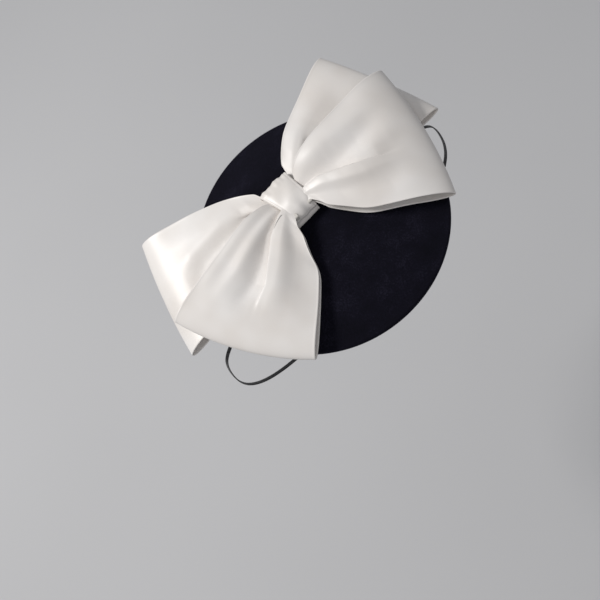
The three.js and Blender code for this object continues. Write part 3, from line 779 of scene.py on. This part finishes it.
class Loop:
    """The middle surface of one ribbon loop, in millimetres from the disc's middle."""

    def __init__(self, name):
        self.__dict__.update(LOOPS[name])
        slant = math.radians(self.heading - BOW_AXIS_ANGLE)
        self.first = (BAND_HALF_LENGTH - GATHER_RUN) / abs(math.cos(slant))
        self.ahead = direction(self.heading)
        self.side_out = direction(self.heading + 90)
        turn = 90 if math.cos(slant) > 0 else -90
        self.side_in = direction(BOW_AXIS_ANGLE + turn)

    def half(self, u, q):
        """Half of the cloth's width, which is different left and right of its middle line."""
        x = np.maximum(0, (u - self.first) / (self.reach - self.first))
        power = np.where(q > 0, self.left_power, self.right_power)
        waist = np.where(q > 0, self.left_waist, self.right_waist)
        opened = smooth(u, GATHER_START, self.first + 1)
        gathered = WAIST_HALF_WIDTH + (waist - WAIST_HALF_WIDTH) * opened
        return gathered + (self.half_width - waist) * smooth(SPREAD_ONSET * x) * x ** power

    def place(self, u, v):
        """Plan position of the point u along the loop and v across it."""
        turn = smooth((u - self.first) / TURN_RUN)[..., None]
        side = self.side_in * (1 - turn) + self.side_out * turn
        side = side / np.linalg.norm(side, axis=-1, keepdims=True)
        return BOW_MM + self.ahead * u[..., None] + side * v[..., None]

    def heights(self, u, q, spot):
        """Heights of the top and bottom layers' smooth shapes."""
        s = np.maximum(0, (u - self.first) / (self.reach - self.first))
        rise = 1 - (1 - np.clip(s / SWELL, 0, 1)) ** 2
        sink = np.clip((s - SINK_START) / (1 - SINK_START), 0, 1) ** 2
        aim = SEAT_MM + self.belly + (self.fold - self.belly) * sink + self.tilt * q
        space = self.belly_gap + (self.fold_gap - self.belly_gap) * sink
        waist_top = WAIST_BASE + self.level * LEVEL_HEIGHT + WAIST_HEIGHT - WALL / 2
        waist_top = waist_top + PUFF * self.level * smooth(u, PUFF_START, self.first)
        waist_gap = WALL + LAYER_GAP
        gap = waist_gap + (space - waist_gap) * rise
        ease = waist_top + (aim - waist_top) * rise
        floor = np.where(s > 0, disc_top(spot[..., 0], spot[..., 1]) + FLOOR_CLEARANCE, -1e6)
        bottom = np.maximum(ease - gap, floor)
        top = np.maximum(ease, bottom + np.where(s > 0, MIN_LAYER_SPACE, waist_gap))
        return top, bottom

    def pleats(self, u, q, share):
        """How far the cloth moves sideways and up in its pleats and soft folds."""
        w = self.half(u, q)
        v = q * w
        narrow = np.minimum(1, w / WAIST_SPAN)
        across = np.zeros_like(u)
        up = np.zeros_like(u)
        for points, window, over, step in self.knives:
            amount = follow(points, u, 2) * share
            reach = window * narrow
            tau = (v - follow(points, u, 1)) / reach
            inside = np.clip(tau, -1, 1)
            across -= FOLD_OVER * reach * amount * np.sin(np.pi * inside)
            steep = np.clip(inside * KNIFE_SHARPNESS, -1, 1)
            level = 0.5 + 0.5 * over * np.sin(np.pi / 2 * steep)
            fade = np.exp(-(np.maximum(np.abs(tau) - 1, 0) * reach / KNIFE_FADE) ** 2)
            up += step * amount * (level - KNIFE_LEVEL) * fade
        for points, width, height in self.ridges:
            amount = follow(points, u, 2) * share
            up += height * amount * narrow * bump(v, follow(points, u, 1), width * narrow)
        drop = np.where(q > 0, self.left_drop, self.right_drop)
        up -= drop * share * smooth(np.abs(q), 0.55, 1.05) * smooth(u, 14, 40)
        return across, up

    def waver(self, u, q):
        """Slow unevenness of the cloth."""
        broad = 0.35 * np.sin(u / 13 + 2.1 * q + self.heading)
        fine = 0.25 * np.sin(u / 7.3 - 4 * q)
        return (broad + fine) * smooth(u, 20, 45)


def across_stations(half_width):
    """Places across the cloth from -1 to 1, closer together at its rounded edges."""
    edge = np.array([0, 0.05, 0.2, 0.45, 0.8, 1.2, 1.8, 2.6]) / half_width
    inset = 3.6 / half_width
    inner = np.linspace(-1 + inset, 1 - inset, INNER_COLUMNS)
    return np.concatenate([-1 + edge, inner, (1 - edge)[::-1]])


def edge_profile(loop, q):
    """Half thickness across the cloth: rounded at its edges, with a faint thicker selvedge."""
    from_edge = (1 - np.abs(q)) * loop.half_width
    rim = np.clip(from_edge / 0.7, 0, 1)
    selvedge = 1 + 0.3 * bump(from_edge, 0.9, 0.7)
    return CLOTH_HALF * np.sqrt(1 - (1 - rim) ** 2) * selvedge


def make_loop(name):
    """One ribbon loop: its top layer out to the fold, round it and back along the lower layer."""
    loop = Loop(name)
    q = across_stations(loop.half_width)
    reach = loop.reach - loop.bow * q * q + loop.slant * q

    def surface(u, q):
        spot = loop.place(u, q * loop.half(u, q))
        return loop.heights(u, q, spot)

    def moved(u, q, z, share, sign):
        """Points of one layer at height z, with its pleats, which fade out towards the fold."""
        calm = 1 - smooth(u, reach[None, :] - CALM_RUN, reach[None, :] - CALM_END)
        across, up = loop.pleats(u, q, share)
        spot = loop.place(u, q * loop.half(u, q) + across * calm)
        return np.dstack([spot, z + (up * sign + loop.waver(u, q)) * calm])

    fold_start = reach - loop.nose
    t = np.linspace(0, 1, LAYER_ROWS)
    run = LOOP_START + (fold_start[None, :] - LOOP_START) * t[:, None]
    wide = np.broadcast_to(q, run.shape)
    top, bottom = surface(run, wide)
    upper = moved(run, wide, top, 1.0, 1)
    lower = moved(run, wide, bottom, UNDER_SHARE, -1)
    floor = disc_top(lower[..., 0], lower[..., 1]) + FLOOR_CLEARANCE - GAP
    z = np.where(run > loop.first, np.maximum(lower[..., 2], floor), lower[..., 2])
    lower[..., 2] = np.minimum(z, upper[..., 2] - MIN_PLEAT_SPACE)
    angles = np.linspace(0, np.pi, FOLD_ROWS)[1:-1, None]
    reach_out = fold_start + loop.nose * np.sin(angles) ** (2 / loop.nose_power)
    wide = np.broadcast_to(q, reach_out.shape)
    now_top, now_bottom = surface(reach_out, wide)
    z = (now_top + now_bottom) / 2 + (now_top - now_bottom) / 2 * np.cos(angles)
    turn = np.where((angles < np.pi / 2)[..., None], moved(reach_out, wide, z, 1.0, 1),
                    moved(reach_out, wide, z, UNDER_SHARE, -1))
    grid = np.concatenate([upper, turn, lower[::-1]])
    half = np.broadcast_to(edge_profile(loop, q), grid.shape[:2]).copy()
    half[0] = half[-1] = 0
    step = np.linalg.norm(np.diff(grid, axis=0), axis=2).mean(1)
    along = np.concatenate([[0], np.cumsum(step)])
    uv = np.dstack([np.broadcast_to(along[:, None], half.shape),
                    np.broadcast_to(q * loop.half_width, half.shape)]) * MM
    made = shell(name + "_satin", grid * MM, half * MM, uv)
    dress(made, SATIN, replaces=[name])
    return made


# ---- knot -----------------------------------------------------------------------------------

BAND_HALF_WIDTH = 17.5
BAND_CORNER = 6.6         # radius of its section's corners
BAND_SHIFT = 3.0          # sideways move of the band's top
BAND_STEPS = 240          # of the mesh round the band
BAND_COLUMNS = 44         # across its outside and its inside
BAND_INSIDE_COLUMNS = 12
CORNER_STEPS = 16
EDGE_PINCH = 0.9          # how far the band's edges are pulled down over the loops
SHOULDER_FALL = 0.022     # how fast its top falls away on the right
BOW_AXIS = direction(BOW_AXIS_ANGLE)
BOW_ACROSS = direction(BOW_AXIS_ANGLE + 90)


def rounded_ring(half_width, low, high, corner, count):
    """Points and outward normals spaced evenly round an upright rounded rectangle."""
    points = []
    normals = []
    for cx, cz, start in ((half_width - corner, high - corner, 0),
                          (-half_width + corner, high - corner, 90),
                          (-half_width + corner, low + corner, 180),
                          (half_width - corner, low + corner, 270)):
        for a in np.radians(np.linspace(start, start + 90, CORNER_STEPS)):
            normals.append((math.cos(a), math.sin(a)))
            points.append((cx + corner * normals[-1][0], cz + corner * normals[-1][1]))
    points = np.array(points + points[:1])
    normals = np.array(normals + normals[:1])
    along = np.concatenate([[0], np.cumsum(np.linalg.norm(np.diff(points, axis=0), axis=1))])
    wanted = np.linspace(0, along[-1], count, endpoint=False)
    p = np.stack([np.interp(wanted, along, points[:, k]) for k in (0, 1)], 1)
    n = np.stack([np.interp(wanted, along, normals[:, k]) for k in (0, 1)], 1)
    return p, n / np.linalg.norm(n, axis=1, keepdims=True), wanted


def bow_points(along, across, height):
    """Points in metres from places along and across the bow's axis, in millimetres."""
    flat = BOW_MM + BOW_AXIS * along[..., None] + BOW_ACROSS * across[..., None]
    return np.concatenate([flat, height[..., None]], -1) * MM


def band_relief(a, side, up, from_edge):
    """How far the band stands off its ring: crowned, gathered at both ends, with a fine hem.
    a is the place along the bow's axis, side across it, and up the ring's upward normal."""
    top_side = np.clip(up, 0, 1)
    crown = (1 - (np.abs(a) / BAND_HALF_LENGTH) ** 2.4) * (0.3 + 1.1 * top_side)
    crown = crown * smooth(up, -0.9, -0.2)
    left_end = smooth(side, 7, 15) * smooth(up, -0.8, 0)
    right_end = smooth(-side, 5, 14) * smooth(up, -0.8, 0)
    gathers = (0.42 * np.sin(a * 0.62 + 0.8) + 0.15 * np.sin(a * 1.55 + 0.1 * side)) * left_end
    gathers = gathers + 0.32 * np.sin(a * 0.62 + 2.2) * right_end
    hem = 0.10 * bump(from_edge, 0.8, 0.6) - 0.2 * bump(from_edge, 1.7, 0.3)
    sag = 0.3 * np.sin((a - 0.5 * side) * 0.42 + 0.6) * top_side * bump(side, -3, 8)
    return crown + gathers + hem + sag


def band_flare(a, side):
    """The band is wider at its left end on the near side, and narrower at its right end."""
    near = 1 + 0.30 * smooth(side, -8, 16) - 0.04 * smooth(-side, 6, 17)
    far = 1 + 0.02 * smooth(side, 2, 16) - 0.12 * smooth(-side, 4, 17)
    return np.where(a < 0, near, far)


def band_fall(a, side, top_side):
    """How far the top is pulled down at its edges and on its right."""
    pinch = EDGE_PINCH * (np.abs(a) / BAND_HALF_LENGTH) ** 4 * top_side
    return pinch + SHOULDER_FALL * np.maximum(0, -3 - side) ** 2 * top_side


def make_knot_wrap():
    """The band round the bow's waists: a closed ring of cloth, with an outside and an inside."""
    low, high = BAND_LOW / MM, BAND_HIGH / MM
    ring, normal, around = rounded_ring(BAND_HALF_WIDTH, low, high, BAND_CORNER, BAND_STEPS)
    edge = np.array([0, 0.06, 0.2, 0.4, 0.7, 1.0, 1.35, 1.8])
    half = BAND_HALF_LENGTH
    middle = np.linspace(-half + 2.4, half - 2.4, BAND_COLUMNS)
    outer = np.concatenate([-half + edge, middle, (half - edge)[::-1]])
    inner = np.linspace(half - 0.5, -half + 0.5, BAND_INSIDE_COLUMNS)
    a = np.concatenate([outer, inner])
    is_outer = np.arange(len(a)) < len(outer)
    from_edge = half - np.abs(a)
    a, side = np.meshgrid(a, ring[:, 0])
    is_outer = np.broadcast_to(is_outer, a.shape)
    from_edge = np.broadcast_to(from_edge, a.shape)
    up = np.broadcast_to(normal[:, 1][:, None], a.shape)
    rim = np.clip(from_edge / 0.6, 0, 1)
    round_off = BAND_WALL / 2 * (1 - np.sqrt(1 - (1 - rim) ** 2))
    lift = band_relief(a, side, up, from_edge) - round_off
    offset = np.where(is_outer, lift, -BAND_WALL)
    shift = BAND_SHIFT * smooth(up, -0.7, 0.2)
    across = side + shift + offset * normal[:, 0][:, None]
    height = ring[:, 1][:, None] + offset * normal[:, 1][:, None]
    height = height - band_fall(a, side, np.clip(up, 0, 1))
    points = bow_points(a * band_flare(a, side), across, height)
    uv = np.dstack([np.broadcast_to(around[:, None], a.shape), a]) * MM
    rows, columns = a.shape
    faces = grid_faces(rows, columns, close_rows=True, close_columns=True, flip=True)
    made = new_object("knot_wrap", points.reshape(-1, 3), faces, uv.reshape(-1, 2))
    merge(made)
    dress(made, SATIN, replaces=["knot_band"])


make_knot_wrap()
for loop_name in LOOPS:
    make_loop(loop_name)

# ---- stage ----------------------------------------------------------------------------------

FLOOR_DEPTH = 0.45
FLOOR_HALF_SIZE = 14.0


def plain(name, color, roughness):
    """A matt painted surface, with slight changes of tone."""
    p = Paint(name)
    tone = p.noise(p.place(), 3, 2)
    shade = p.ramp(tone, "Fac", [(0.3, tuple(c * 0.97 for c in color)), (0.7, color)])
    p.join(shade, "Color", p.shader, "Base Color")
    p.set(Roughness=roughness)
    return p.material


def make_stage():
    size = FLOOR_HALF_SIZE
    floor = new_object("floor", [(-size, -size, -FLOOR_DEPTH), (size, -size, -FLOOR_DEPTH),
                                 (size, size, -FLOOR_DEPTH), (-size, size, -FLOOR_DEPTH)],
                       [(0, 1, 2, 3)])
    floor.data.materials.append(plain("floor_paper", (0.63, 0.63, 0.64), 0.9))


def area_light(name, place, aim, size, power, color):
    data = bpy.data.lights.new(name, "AREA")
    data.shape = "DISK"
    data.size = size
    data.energy = power
    data.color = color
    light = bpy.data.objects.new(name, data)
    light.location = place
    light.rotation_mode = "QUATERNION"
    light.rotation_quaternion = (Vector(aim) - Vector(place)).to_track_quat("-Z", "Y")
    bpy.context.scene.collection.objects.link(light)


def make_lights():
    world = bpy.data.worlds.new("studio")
    world.use_nodes = True
    back = world.node_tree.nodes["Background"]
    back.inputs["Color"].default_value = (0.86, 0.88, 0.92, 1)
    back.inputs["Strength"].default_value = 0.33
    bpy.context.scene.world = world
    area_light("key", (-0.98, -0.02, 1.15), (0, 0, 0), 0.5, 16, (1.0, 0.985, 0.965))
    area_light("fill", (0.6, -0.9, 1.3), (0, 0, 0), 1.2, 3.0, (1.0, 0.97, 0.94))


make_stage()
make_lights()

bpy.context.scene.view_settings.view_transform = "Standard"
